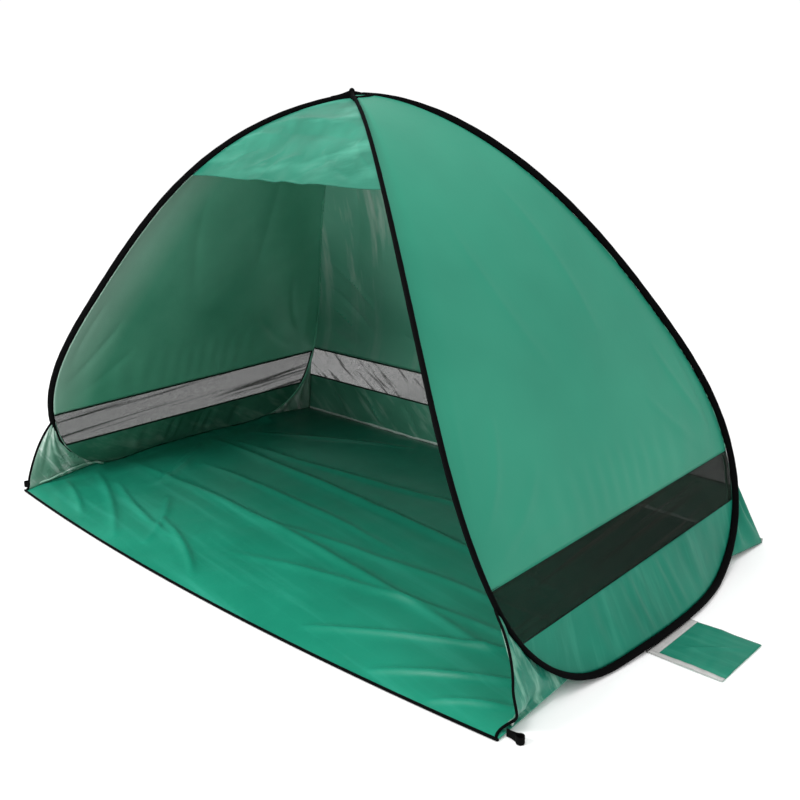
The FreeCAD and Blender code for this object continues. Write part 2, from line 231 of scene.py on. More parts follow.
def sheet_piece(name, grid, outside, inside=None, thickness=CLOTH, cut=None):
    """A cloth sheet with two skins. The first material is on the side that du x dv points to.

    cut is the same sheet before its folds are pressed in, which is what it was cut to.
    """
    rows, columns = grid.shape[:2]
    offset = grid_normals(grid) * thickness / 2
    top, low = (grid + offset).reshape(-1, 3), (grid - offset).reshape(-1, 3)
    skin = grid_faces(rows, columns)
    count = rows * columns
    ring = np.concatenate([np.arange(columns), np.arange(1, rows) * columns + columns - 1,
                           (rows - 1) * columns + np.arange(columns - 2, -1, -1),
                           np.arange(rows - 2, 0, -1) * columns])
    after = np.roll(ring, -1)
    rim = np.stack([ring, ring + count, after + count, after], axis=1)
    faces = np.concatenate([skin, skin[:, ::-1] + count, rim])
    indices = np.concatenate([np.zeros(len(skin)), np.full(len(skin), 1 if inside else 0),
                              np.zeros(len(rim))])
    materials = [outside, inside] if inside else [outside]
    piece = mesh_piece(name, np.vstack([top, low]), faces, materials, indices)
    plain = grid if cut is None else cut
    piece["cut_area"] = grid_area(plain)
    piece["cut_spread"] = sorted(np.ptp(plain.reshape(-1, 3), axis=0).tolist(), reverse=True)
    return piece


def grid_area(grid):
    a = grid[1:, 1:] - grid[:-1, :-1]
    b = grid[1:, :-1] - grid[:-1, 1:]
    return float(np.linalg.norm(np.cross(a, b), axis=-1).sum() / 2)


def sweep(name, line, wide, thick, material, out=None, taper=None, power=2.6):
    """A bar of oval section along a line. wide is measured along out."""
    along = unit(np.gradient(line, axis=0))
    if out is None:
        out = np.tile(np.array([0.0, 0.0, 1.0]), (len(line), 1))
    out = unit(out - (out * along).sum(1, keepdims=True) * along)
    across = np.cross(along, out)
    steps = np.arange(SECTION) / SECTION * FULL_TURN
    c, s = np.cos(steps), np.sin(steps)
    x = np.sign(c) * np.abs(c) ** (2 / power) * wide / 2
    y = np.sign(s) * np.abs(s) ** (2 / power) * thick / 2
    size = np.ones(len(line)) if taper is None else taper
    rings = (line[:, None] + out[:, None] * (x[None, :, None] * size[:, None, None])
             + across[:, None] * (y[None, :, None] * size[:, None, None]))
    faces = grid_faces(len(line), SECTION, closed=True)
    points = np.vstack([rings.reshape(-1, 3), line[0], line[-1]])
    k = np.arange(SECTION)
    after = (k + 1) % SECTION
    last = (len(line) - 1) * SECTION
    caps = np.concatenate([np.stack([np.full(SECTION, len(points) - 2), after, k], axis=1),
                           np.stack([last + k, last + after, np.full(SECTION, len(points) - 1)], axis=1)])
    mesh = bpy.data.meshes.new(name)
    mesh.from_pydata(points.tolist(), [], faces.tolist() + caps.tolist())
    mesh.materials.append(material)
    mesh.polygons.foreach_set("use_smooth", np.ones(len(faces) + len(caps), bool))
    mesh.update()
    return collection_add(mesh, name)


# ---- soft shapes ----
def noise(u, v, seed, scale):
    """Smooth seeded noise, as a sum of waves in all directions."""
    rng = np.random.default_rng(seed)
    total = np.zeros(np.broadcast(u, v).shape)
    for octave in range(OCTAVES):
        for _ in range(WAVES):
            turn, phase = rng.uniform(0, FULL_TURN, 2)
            wave = FULL_TURN / scale * 2**octave * rng.uniform(0.6, 1.4)
            total += np.sin((u * math.cos(turn) + v * math.sin(turn)) * wave + phase) / 2**octave
    return total / (WAVES * WAVE_LEVEL)


def crease(u, v, start, end, width, height, bend=0.0):
    """A long fold from start to end with a narrow ridge, fading at both ends."""
    a, b = np.array(start, float), np.array(end, float)
    run = np.linalg.norm(b - a)
    d = (b - a) / run
    along = ((u - a[0]) * d[0] + (v - a[1]) * d[1]) / run
    across = -(u - a[0]) * d[1] + (v - a[1]) * d[0]
    across = across - bend * 4 * along * (1 - along)
    fade = np.clip(np.sin(np.clip(along, 0, 1) * math.pi), 0, 1) ** 0.6
    return height * fade * np.exp(-np.abs(across / width) ** CREASE_POWER)


# ---- materials ----
def material(name, slot_name):
    made = bpy.data.materials.new(name)
    made.use_nodes = True
    made["slot_name"] = slot_name
    return made, made.node_tree.nodes, made.node_tree.links


def node(nodes, kind, **values):
    made = nodes.new(kind)
    for key, value in values.items():
        if hasattr(made, key):
            setattr(made, key, value)
        else:
            made.inputs[key].default_value = value
    return made


def streaks(nodes, links, place, turn, frequency):
    """Noise drawn out into streaks: turned first, then of this frequency on each of its own axes."""
    turned = node(nodes, "ShaderNodeMapping", Rotation=turn)
    stretched = node(nodes, "ShaderNodeMapping", Scale=frequency)
    drawn = node(nodes, "ShaderNodeTexNoise", Scale=1.0, Detail=4.0, Roughness=0.6)
    links.new(place.outputs["Object"], turned.inputs["Vector"])
    links.new(turned.outputs["Vector"], stretched.inputs["Vector"])
    links.new(stretched.outputs["Vector"], drawn.inputs["Vector"])
    return drawn.outputs["Fac"]


def rescale(nodes, links, value, span, result):
    """The value's span, mapped to the result's."""
    scaled = node(nodes, "ShaderNodeMapRange")
    for socket, number in zip(("From Min", "From Max", "To Min", "To Max"), (*span, *result)):
        scaled.inputs[socket].default_value = number
    links.new(value, scaled.inputs["Value"])
    return scaled.outputs["Result"]


def tinted(nodes, links, base, colour, share):
    """The base colour, mixed with another by this share."""
    mix = node(nodes, "ShaderNodeMix", data_type="RGBA")
    factor, first, second = mix.inputs[0], mix.inputs[6], mix.inputs[7]
    second.default_value = (*colour, 1)
    links.new(base, first)
    links.new(share, factor)
    return mix.outputs[2]


def cloth_material(name, slot_name, dark, light, roughness, weave, tone_scale, bump, metallic=0.0,
                   specular=0.5, gleam=None, painted_light=None):
    """Woven cloth: tone drifts between two colours, with a fine weave and soft crinkle in the bump.
    gleam paints paler streaks as highlights, standing in for folds that catch the light, as (turn,
    frequency, colour, amount).
    The last argument paints light or shade in by position, as each caller needs: another colour that the
    cloth takes on, as (direction, span, colour, amount): none of it at the span's start along that
    direction, and the whole amount at its end."""
    made, nodes, links = material(name, slot_name)
    shader = nodes["Principled BSDF"]
    shader.inputs["Metallic"].default_value = metallic
    shader.inputs["Specular IOR Level"].default_value = specular
    place = node(nodes, "ShaderNodeTexCoord")
    drift = node(nodes, "ShaderNodeTexNoise", Scale=tone_scale, Detail=3.0, Roughness=0.55)
    links.new(place.outputs["Object"], drift.inputs["Vector"])
    ramp = node(nodes, "ShaderNodeValToRGB")
    ramp.color_ramp.elements[0].position = 0.32
    ramp.color_ramp.elements[0].color = (*dark, 1)
    ramp.color_ramp.elements[1].position = 0.68
    ramp.color_ramp.elements[1].color = (*light, 1)
    links.new(drift.outputs["Fac"], ramp.inputs["Fac"])
    tone = ramp.outputs["Color"]
    # painted highlights: paler streaks where folds would catch the light
    if gleam:
        turn, frequency, colour, amount = gleam
        drawn = streaks(nodes, links, place, turn, frequency)
        tone = tinted(nodes, links, tone, colour, rescale(nodes, links, drawn, (0.50, 0.70), (0, amount)))
    # painted light or shade by position, growing along a direction, as the caller gives it
    if painted_light:
        direction, span, colour, amount = painted_light
        reach = node(nodes, "ShaderNodeVectorMath", operation="DOT_PRODUCT")
        reach.inputs[1].default_value = direction
        links.new(place.outputs["Object"], reach.inputs[0])
        share = rescale(nodes, links, reach.outputs["Value"], span, (0, amount))
        tone = tinted(nodes, links, tone, colour, share)
    links.new(tone, shader.inputs["Base Color"])
    rough = rescale(nodes, links, drift.outputs["Fac"], (0, 1), (roughness - 0.05, roughness + 0.07))
    links.new(rough, shader.inputs["Roughness"])
    crinkle = node(nodes, "ShaderNodeTexNoise", Scale=28.0, Detail=4.0, Roughness=0.6)
    links.new(place.outputs["Object"], crinkle.inputs["Vector"])
    threads = node(nodes, "ShaderNodeTexVoronoi", Scale=weave)
    links.new(place.outputs["Object"], threads.inputs["Vector"])
    soft = node(nodes, "ShaderNodeBump", Strength=bump, Distance=0.004)
    fine = node(nodes, "ShaderNodeBump", Strength=0.08, Distance=0.0004)
    links.new(crinkle.outputs["Fac"], soft.inputs["Height"])
    links.new(threads.outputs["Distance"], fine.inputs["Height"])
    links.new(soft.outputs["Normal"], fine.inputs["Normal"])
    links.new(fine.outputs["Normal"], shader.inputs["Normal"])
    return made


def netting_material(name, turn, frequency, cover):
    """Fine dark netting. Its holes let part of what is behind show through, less so where slack
    folds of it lie double, in streaks. cover is how much it hides at a thread's middle and edge."""
    made, nodes, links = material(name, "mesh")
    shader = nodes["Principled BSDF"]
    shader.inputs["Roughness"].default_value = 0.75
    shader.inputs["Specular IOR Level"].default_value = 0.1
    place = node(nodes, "ShaderNodeTexCoord")
    folds = streaks(nodes, links, place, turn, frequency)
    ramp = node(nodes, "ShaderNodeValToRGB")
    ramp.color_ramp.elements[0].position = 0.35
    ramp.color_ramp.elements[0].color = (0.002, 0.005, 0.003, 1)
    ramp.color_ramp.elements[1].position = 0.70
    ramp.color_ramp.elements[1].color = (0.009, 0.012, 0.008, 1)
    links.new(folds, ramp.inputs["Fac"])
    links.new(ramp.outputs["Color"], shader.inputs["Base Color"])
    cells = node(nodes, "ShaderNodeTexVoronoi", Scale=420.0)
    links.new(place.outputs["Object"], cells.inputs["Vector"])
    single = rescale(nodes, links, cells.outputs["Distance"], (0.2, 0.75), cover)
    double = rescale(nodes, links, folds, (0.54, 0.66), (0.0, 0.22))
    both = node(nodes, "ShaderNodeMath", operation="ADD", use_clamp=True)
    links.new(single, both.inputs[0])
    links.new(double, both.inputs[1])
    links.new(both.outputs["Value"], shader.inputs["Alpha"])
    return made


def tape_material(name, slot_name, colour, roughness=0.7, ribs=900.0, specular=0.12):
    made, nodes, links = material(name, slot_name)
    shader = nodes["Principled BSDF"]
    shader.inputs["Roughness"].default_value = roughness
    shader.inputs["Specular IOR Level"].default_value = specular
    place = node(nodes, "ShaderNodeTexCoord")
    drift = node(nodes, "ShaderNodeTexNoise", Scale=30.0, Detail=4.0)
    links.new(place.outputs["Object"], drift.inputs["Vector"])
    ramp = node(nodes, "ShaderNodeValToRGB")
    ramp.color_ramp.elements[0].color = (*[c * 0.75 for c in colour], 1)
    ramp.color_ramp.elements[1].color = (*[c * 1.3 for c in colour], 1)
    links.new(drift.outputs["Fac"], ramp.inputs["Fac"])
    links.new(ramp.outputs["Color"], shader.inputs["Base Color"])
    weave = node(nodes, "ShaderNodeTexVoronoi", Scale=ribs)
    links.new(place.outputs["Object"], weave.inputs["Vector"])
    bump = node(nodes, "ShaderNodeBump", Strength=0.35, Distance=0.0006)
    links.new(weave.outputs["Distance"], bump.inputs["Height"])
    links.new(bump.outputs["Normal"], shader.inputs["Normal"])
    return made


def turned(x=0, y=0, z=0):
    return (math.radians(x), math.radians(y), math.radians(z))


UPWARDS = (0, 0, 1)
BACKWARDS = (0, 1, 0)
TO_FRONT_STRAND = (0, -0.95, 0.31)   # square to the front strand, in a side wall
GREEN = ((0.012, 0.195, 0.122), (0.020, 0.235, 0.148))
# a darker copy of the outer green: painted shade for the low pieces, gussets and flaps
SHADED_GREEN = ((0.003, 0.148, 0.094), (0.006, 0.182, 0.116))
# the colour of painted highlight streaks
HIGHLIGHT_GREEN = (0.34, 0.62, 0.48)
OUTER = cloth_material("outer_cloth", "green_cloth", *GREEN, 0.46, 1500.0, 2.2, 0.12, specular=0.22)
# the visor's green, with paler streaks as painted highlights and darker towards its lower edge as painted
# shade
VISOR_CLOTH = cloth_material("visor_outside_painted_light", "green_cloth", (0.008, 0.140, 0.088),
                             (0.022, 0.215, 0.142), 0.42, 1500.0, 7.0, 0.20, specular=0.3,
                             gleam=(turned(y=10), (4.0, 6.0, 20.0), (0.12, 0.50, 0.36), 0.40),
                             painted_light=(UPWARDS, (1.17, 1.06), (0.005, 0.125, 0.078), 0.70))
# the outer cloth darkened as painted shade, with paler streaks on its pleats as painted highlights
SHADED_OUTER = cloth_material("outer_cloth_painted_shade", "green_cloth", *SHADED_GREEN, 0.46, 1500.0, 5.0, 0.14,
                           specular=0.18, gleam=(turned(x=8), (3.0, 30.0, 3.0), (0.05, 0.30, 0.21), 0.30))
# the front gussets' outside: the darker green as painted shade, with pale streaks as painted highlights
GUSSET_OUTER = cloth_material("gusset_outside_painted_light", "green_cloth", *SHADED_GREEN, 0.40, 1500.0, 8.0, 0.24,
                              specular=0.35, gleam=(turned(x=-12), (20.0, 44.0, 4.0), HIGHLIGHT_GREEN, 0.50))
# the inner coating, paler towards each side wall's front strand as a painted highlight
INNER = cloth_material("inner_coating", "green_cloth", (0.076, 0.315, 0.205), (0.132, 0.415, 0.286),
                       0.36, 1500.0, 3.0, 0.18, metallic=0.25, specular=0.8,
                       painted_light=(TO_FRONT_STRAND, (0.50, 0.72), (0.62, 0.66, 0.62), 0.55))
# the back wall's inner coating: a brighter copy with pale streaks as painted highlights, darker towards
# the bottom as painted shade
BACK_INNER = cloth_material("back_coating_painted_light", "green_cloth", (0.105, 0.340, 0.240), (0.170, 0.430, 0.320),
                            0.36, 1500.0, 3.0, 0.20, metallic=0.25, specular=0.8,
                            gleam=(turned(y=-20), (17.0, 3.0, 1.7), (0.56, 0.64, 0.58), 0.80),
                            painted_light=(UPWARDS, (0.86, 0.44), (0.040, 0.180, 0.118), 0.85))
# a darker copy of the inner coating as painted shade for the lower strips, with paler streaks as painted
# highlights
SHADED_INNER = cloth_material("inner_coating_painted_shade", "green_cloth", (0.030, 0.150, 0.095), (0.060, 0.225, 0.150),
                           0.40, 1500.0, 5.0, 0.24, metallic=0.25, specular=0.6,
                           gleam=(turned(x=40, y=-40), (6.0, 6.0, 34.0), (0.30, 0.45, 0.37), 0.40))
# the silver lining, made brighter, with near-white streaks as painted highlights
HIGHLIT_LINING = cloth_material("silver_lining_painted_highlights", "green_cloth", (0.170, 0.350, 0.265), (0.330, 0.480, 0.400),
                        0.28, 1500.0, 9.0, 0.30, metallic=0.35, specular=0.9,
                        gleam=(turned(x=-34), (12.0, 34.0, 4.0), (0.94, 0.95, 0.93), 0.95))
# the floor cloth, with paler streaks along its folds as painted highlights and darker towards the back as
# painted shade
FLOOR_CLOTH = cloth_material("floor_cloth", "floor_cloth", (0.009, 0.225, 0.140),
                             (0.013, 0.280, 0.178), 0.30, 1100.0, 2.5, 0.16, specular=0.5,
                             gleam=(turned(z=8), (1.1, 20.0, 1.0), (0.05, 0.42, 0.30), 0.35),
                             painted_light=(BACKWARDS, (-0.62, 0.48), (0.003, 0.082, 0.052), 1.0))
SIDE_NETTING = netting_material("side_netting", turned(x=-4), (2.0, 1.2, 54.0), (0.52, 0.72))
BACK_NETTING = netting_material("back_netting", turned(y=-38), (5.0, 2.0, 36.0), (0.43, 0.66))
BLACK = tape_material("black_tape", "black_tape", (0.0016, 0.0016, 0.0018), 0.85, specular=0.04)
DARK = tape_material("dark_binding", "dark_tape", (0.006, 0.016, 0.011))
SILVER = tape_material("silver_binding", "grey_tape", (0.42, 0.42, 0.41), 0.5, specular=0.4)
SEAM_TAPE = tape_material("floor_seam_tape", "grey_tape", (0.24, 0.30, 0.27), 0.5, specular=0.4)
WEBBING = tape_material("black_webbing", "black_webbing", (0.002, 0.002, 0.002), 0.8, 700.0, 0.05)
STEEL = tape_material("spring_steel", "spring_steel", (0.5, 0.51, 0.53), 0.3, specular=0.6)


# ---- the fan: the shared sheets between the two sides, which stay unbent ----
def fan(piece, edge_x_at):
    """The piece's transform is baked in. Each point's angle from the fold's axis out to the piece's
    right edge is worked out but not used, so the piece does not bend. edge_x_at(z) is how far out the
    piece's right edge is at each height."""
    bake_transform(piece)
    points = np.array([v.co for v in piece.data.vertices], float)
    drop = np.maximum(FOLD_HEIGHT - points[:, 2], 1e-4)
    edge = np.arctan2(np.maximum(edge_x_at(points[:, 2]), 1e-3), drop)


def strand_x(strand):
    def edge(z):
        return np.abs(HOOPS["right"].at(strand, z)[:, 0])
    return edge


# ---- the side walls ----
def skins(facing, outside=OUTER, inside=INNER):
    """The two sides of the wall cloth, with the green one first where du x dv points outwards."""
    return (outside, inside) if facing > 0 else (inside, outside)


def thread_grid(front, rear, columns):
    u = np.linspace(0, 1, columns)[None, :, None]
    return front[:, None] * (1 - u) + rear[:, None] * u


def seam_ends(hoop, node_name):
    """The heights of a window's seam at its front and rear end, which is the higher one."""
    low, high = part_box(hoop.side + "_" + node_name)
    return low.z + TAPE_WIDTH / 2, high.z - TAPE_WIDTH / 2


def settle(grid, sign, height):
    """Moves a grid along its own normals, outwards where sign says that du x dv points inwards."""
    return grid + grid_normals(grid) * (sign * height)[..., None]


def edge_fade(rows, columns, reach):
    """0 at a sheet's edges, where it is sewn, and 1 inside."""
    u, v = np.linspace(0, 1, columns), np.linspace(0, 1, rows)
    fu = np.clip(np.minimum(u, 1 - u) / reach, 0, 1)
    fv = np.clip(np.minimum(v, 1 - v) / reach, 0, 1)
    return (fv * (2 - fv))[:, None] * (fu * (2 - fu))[None, :]


def side_rows(front_range, rear_range, count, crowned=False):
    t = np.linspace(0, 1, count)
    if crowned:
        t = 1 - (1 - t) ** 2
    front = front_range[0] + (front_range[1] - front_range[0]) * t
    rear = rear_range[0] + (rear_range[1] - rear_range[0]) * t
    return front, rear


# long folds in the side walls, in (y, z): start, end, half width, height and sideways bend
SIDE_FOLDS = [
    ((0.04, 1.05), (0.13, 0.66), 0.020, 0.0030, 0.02),
    ((-0.22, 0.98), (-0.10, 0.62), 0.018, 0.0025, -0.02),
    ((0.50, 0.30), (0.22, 0.50), 0.012, 0.0050, 0.02),
    ((0.52, 0.34), (0.34, 0.62), 0.012, 0.0045, 0.02),
    ((0.44, 0.62), (0.50, 0.33), 0.012, -0.0040, 0.01),
    ((-0.56, 0.30), (-0.30, 0.46), 0.012, 0.0050, -0.02),
    ((-0.56, 0.36), (-0.38, 0.58), 0.012, 0.0045, -0.02),
    ((-0.54, 0.44), (-0.46, 0.66), 0.010, 0.0040, 0.01),
    ((-0.50, 0.29), (-0.16, 0.34), 0.010, 0.0040, 0.01),
    ((0.34, 0.30), (0.06, 0.38), 0.012, 0.0035, -0.01),
]


def side_wall(hoop):
    side, sign = hoop.side, hoop.sign
    body = side + "_side"
    f0, r0 = seam_ends(hoop, "window_lower_tape")
    f1, r1 = seam_ends(hoop, "window_upper_tape")

    # the upper piece, from the window to the crown
    front, rear = side_rows((f1, CROWN_KEY), (r1, CROWN_KEY), 190, crowned=True)
    grid = thread_grid(hoop.at("front", front), hoop.at("rear", rear), 126)
    y, z = grid[..., 1], grid[..., 2]
    fade = edge_fade(*grid.shape[:2], reach=0.1)
    swell = 0.010 * fade + 0.0016 * fade * noise(y, z, 3, 0.5)
    for start, end, width, height, bend in SIDE_FOLDS:
        swell += fade * crease(y, z, start, end, width, height, bend)
    seam_pull = np.clip(1 - np.linspace(0, 1, 190) / 0.09, 0, 1)[:, None]
    swell += fade * seam_pull * 0.0022 * np.sin(y * 88 + 5 * np.sin(y * 7))
    upper = sheet_piece(side + "_upper_cloth", settle(grid, sign, swell), *skins(sign), cut=grid)
    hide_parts(side + "_upper_panel")

    # the netting
    front, rear = side_rows((f0, f1), (r0, r1), 18)
    grid = thread_grid(hoop.at("front", front), hoop.at("rear", rear), 126)
    y, z = grid[..., 1], grid[..., 2]
    fade = edge_fade(*grid.shape[:2], reach=0.2)
    swell = fade * (0.004 + 0.0015 * noise(y, z, 5, 0.22))
    swell -= fade * crease(y, z, (-0.55, 0.19), (0.35, 0.235), 0.010, 0.009)
    swell += fade * crease(y, z, (-0.30, 0.23), (0.50, 0.26), 0.008, 0.006)
    net = sheet_piece(side + "_netting", settle(grid, sign, swell), SIDE_NETTING, thickness=NETTING,
                      cut=grid)
    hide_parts(side + "_mesh_window")

    # the lower piece, from the window to the hoop along the ground
    top_front, top_rear = hoop.at("front", f0)[0], hoop.at("rear", r0)[0]
    span = np.vstack([hoop.front[hoop.front_key < f0 - 0.001],
                      hoop.rear[hoop.rear_key < r0 - 0.001][::-1]])
    bottom = smooth_line(np.vstack([top_front, span, top_rear]), 0.011)
    columns = len(bottom)
    u = lengths_along(bottom) / lengths_along(bottom)[-1]
    top = top_front + (top_rear - top_front) * u[:, None]
    v = np.linspace(0, 1, 20)[:, None, None]
    grid = bottom[None] * (1 - v) + top[None] * v
    y, z = grid[..., 1], grid[..., 2]
    fade = edge_fade(20, columns, reach=0.25)
    pleats = 0.0026 * np.sin(y * 95 + 6 * np.sin(y * 9)) * np.sin(y * 21) ** 2
    swell = fade * (pleats + 0.002 * noise(y, z, 7, 0.2))
    lower = sheet_piece(side + "_lower_cloth", settle(grid, sign, swell),
                        *skins(sign, SHADED_OUTER, SHADED_INNER), cut=grid)
    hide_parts(side + "_lower_panel")

    # the bindings over the window's two seams
    for name, key_front, key_rear in (("window_lower", f0, r0), ("window_upper", f1, r1)):
        a, b = hoop.at("front", key_front)[0], hoop.at("rear", key_rear)[0]
        line = a + (b - a) * np.linspace(0, 1, 90)[:, None] - [sign * BINDING_INSIDE, 0, 0]
        bar = sweep(side + "_" + name + "_binding", line, BINDING_WIDTH, BINDING_THICK, DARK)
        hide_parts(side + "_" + name + "_tape")
        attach(bar, body)

    for piece, slot_name in ((upper, "green_cloth"), (net, "mesh"), (lower, "green_cloth")):
        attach(piece, body)


# ---- gussets ----
CORNER_PULL = 0.0215            # the ground sheet's front corners are drawn this far forward
EDGE_BOW = {"right": 1.0, "left": 0.45}   # how much of its full bow each free edge keeps
HOOK_RADIUS = 0.020             # a free edge ends in a small hook round the floor's corner
HOOK_TURN = {"right": (40, 246), "left": (120, 246)}   # in degrees, from straight outwards
HOOK_RISE = 0.050


def corner_hook(hoop):
    """The arc that brings a gusset's free edge down and round to the floor's corner."""
    corner = floor_corner(hoop, "front")
    turn = np.radians(np.linspace(*HOOK_TURN[hoop.side], 14))
    circle = np.stack([hoop.sign * np.cos(turn), np.sin(turn), np.zeros(14)], axis=1)
    circle = circle * HOOK_RADIUS * EDGE_BOW[hoop.side]
    points = corner + circle - circle[-1]
    points[:, 2] += HOOK_RISE * EDGE_BOW[hoop.side] * np.linspace(1, 0, 14) ** 2
    return points


def ridges(phase):
    """Folds with narrow crests and broad hollows between them."""
    return 1 - 2 * np.abs(np.sin(phase))


def room_for_folds(edge, inner):
    """0 to 1 along a gusset: its folds are full only where the cloth is wide enough."""
    return np.clip(np.linalg.norm(edge - inner, axis=1) / 0.09, 0, 1)[None, :]


def free_edge(hoop):
    """The front gusset's free edge, from the hoop down to the floor's corner, bowed outwards."""
    line = vertices(hoop.side + "_front_gusset_piping")
    line = line[line[:, 2].argsort()[::-1]]
    middle = np.array([part.mean(0) for part in np.array_split(line, 9)])
    top = hoop.at("front", middle[0, 2] + 0.012)[0]
    hook = corner_hook(hoop)
    fall = (top[2] - middle[:, 2:]) / (top[2] - hook[0, 2])
    straight = top + (hook[0] - top) * fall
    middle = straight + (middle - straight) * EDGE_BOW[hoop.side]
    middle = middle[(fall[:, 0] > 0.03) & (fall[:, 0] < 0.85)]
    return smooth_line(np.vstack([top, middle, hook]), 0.004)


def floor_corner(hoop, end):
    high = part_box("ground_sheet")[1]
    y = high.y if end == "rear" else -high.y - CORNER_PULL
    return np.array([hoop.sign * high.x, y, 0.003])


def lean_on_hoop(hoop, strand, top_key, foot_key, count):
    line, key = (hoop.front, hoop.front_key) if strand == "front" else (hoop.rear, hoop.rear_key)
    inside = line[(key < top_key) & (key > foot_key)]
    whole = np.vstack([hoop.at(strand, top_key)[0], inside, hoop.at(strand, foot_key)[0]])
    s = lengths_along(whole)
    even = np.linspace(0, s[-1], count)
    return np.stack([np.interp(even, s, whole[:, k]) for k in range(3)], axis=1)


GUSSET_FOOT = 0.030


def front_gusset(hoop):
    side, sign = hoop.side, hoop.sign
    edge = free_edge(hoop)
    count = len(edge)
    inner = lean_on_hoop(hoop, "front", edge[0, 2], GUSSET_FOOT, count)
    v = np.linspace(0, 1, 30)[:, None, None]
    grid = edge[None] * (1 - v) + inner[None] * v
    u = np.linspace(0, 1, count)[None, :]
    w = np.linspace(0, 1, 30)[:, None]
    fade = edge_fade(30, count, reach=0.28)
    spread_out = np.clip(1.15 - u, 0, 1) * (0.35 + 0.65 * u)
    folds = 0.013 * spread_out * ridges(w * 7 + 1.8 * u) + 0.005 * ridges(w * 15 - 3 * u) * (1 - u)
    folded = settle(grid, sign, fade * folds * room_for_folds(edge, inner))
    cloth = sheet_piece(side + "_front_gusset_cloth", folded, *skins(sign, GUSSET_OUTER, HIGHLIT_LINING),
                        cut=grid)
    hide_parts(side + "_front_gusset")
    piping = sweep(side + "_gusset_binding", edge, 2.1 * PIPING, 1.7 * PIPING, BLACK,
                   out=np.tile([1.0 * sign, -1.0, 0.0], (count, 1)), power=2.0)
    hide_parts(side + "_front_gusset_piping")
    for piece, slot_name in ((cloth, "green_cloth"), (piping, "black_tape")):
        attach(piece, side + "_side")


def rear_gusset(hoop):
    side, sign = hoop.side, hoop.sign
    top = BACK_LEAVES_HOOP
    start, corner = hoop.at("rear", top)[0], floor_corner(hoop, "rear")
    count = 34
    edge = start + (corner - start) * np.linspace(0, 1, count)[:, None]
    inner = lean_on_hoop(hoop, "rear", top, GUSSET_FOOT, count)
    v = np.linspace(0, 1, 22)[:, None, None]
    grid = edge[None] * (1 - v) + inner[None] * v
    u = np.linspace(0, 1, count)[None, :]
    w = np.linspace(0, 1, 22)[:, None]
    fade = edge_fade(22, count, reach=0.2)
    folds = 0.006 * np.sin((w * 1.8 + u * 1.3) * 8)
    folded = settle(grid, sign, fade * folds * room_for_folds(edge, inner))
    cloth = sheet_piece(side + "_rear_gusset_cloth", folded, *skins(-sign, SHADED_OUTER, HIGHLIT_LINING),
                        cut=grid)
    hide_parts(side + "_rear_gusset")
    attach(cloth, side + "_side")


def rear_seam(hoop):
    """The turned-in seam of side and back wall, a soft crinkled roll of cloth inside the sleeve."""
    line = hoop.rear[(hoop.rear[:, 2] > BACK_LEAVES_HOOP) & (hoop.rear[:, 2] < FOLD_HEIGHT - 0.10)]
    line = smooth_line(line, 0.004)
    s = lengths_along(line)
    inwards = np.array([-hoop.sign * 0.8, -0.6, 0.0]) * 0.0024
    line = line + inwards * (1 + 0.5 * np.sin(s * 97 + 3 * np.sin(s * 31)))[:, None]
    plump = 1 + 0.30 * np.sin(s * 150 + 4 * np.sin(s * 43))
    ends = np.clip(np.minimum(s, s[-1] - s) / 0.05, 0.05, 1)
    roll = sweep(hoop.side + "_rear_seam", line, 0.0066, 0.0050, INNER, taper=plump * ends, power=2.0)
    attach(roll, hoop.side + "_side")


def rear_foot_seam(hoop):
    """Below that, the wide turned-in edge of the side wall, which covers the sleeve from inside."""
    line = hoop.rear[(hoop.rear[:, 2] > GUSSET_FOOT) & (hoop.rear[:, 2] < BACK_LEAVES_HOOP + 0.045)]
    line = smooth_line(line, 0.005)
    s = lengths_along(line)
    forward = np.array([-hoop.sign * 0.0075, -0.0078, 0.0])
    line = line + forward * (1 + 0.15 * np.sin(s * 90))[:, None]
    ends = np.clip(np.minimum(s, s[-1] - s) / 0.03, 0.1, 1)
    band = sweep(hoop.side + "_rear_foot_seam", line, 0.0120, 0.0030, INNER,
                 out=np.tile([0.0, 1.0, 0.3], (len(line), 1)), taper=ends, power=3.0)
    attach(band, hoop.side + "_side")


def front_side_seam(hoop):
    """The pale seam along the floor's side, from its front corner back to where the hoop lands."""
    line = floor_side() * np.array([hoop.sign, 1, 1])
    line = smooth_line(line[line[:, 1] < FRONT_SEAM_END], 0.006)[FRONT_SEAM_SKIPS:]
    s = lengths_along(line)
    inwards = -hoop.sign * 0.012 * np.clip(s / 0.06, 0, 1)
    line = line + np.stack([inwards, 0 * s, 0.0030 + 0.0010 * np.sin(s * 120)], axis=1)
    roll = sweep(hoop.side + "_front_side_seam", line, 0.0075, 0.0070, HIGHLIT_LINING, power=2.0)
    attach(roll, hoop.side + "_side")


# ---- the back wall, the visor and the ground sheet ----
BACK_LEAVES_HOOP = 0.25
FRONT_SEAM_END = -0.36
FRONT_SEAM_SKIPS = 8            # steps of 6 mm at the corner, where the free edge's hook is


def back_edge(z):
    """The back wall's right edge: on the hoop above, straight out to the rear corner below."""
    hoop = HOOPS["right"]
    z = np.atleast_1d(z)
    on_hoop = hoop.at("rear", z)
    top, corner = hoop.at("rear", BACK_LEAVES_HOOP)[0], floor_corner(hoop, "rear")
    share = np.clip((z - corner[2]) / (BACK_LEAVES_HOOP - corner[2]), 0, 1)[:, None]
    low = corner + (top - corner) * share
    return np.where((z < BACK_LEAVES_HOOP)[:, None], low, on_hoop)


def mirrored_grid(right, columns):
    return thread_grid(right * np.array([-1, 1, 1]), right, columns)


def back_x(z):
    return np.abs(back_edge(z)[:, 0])


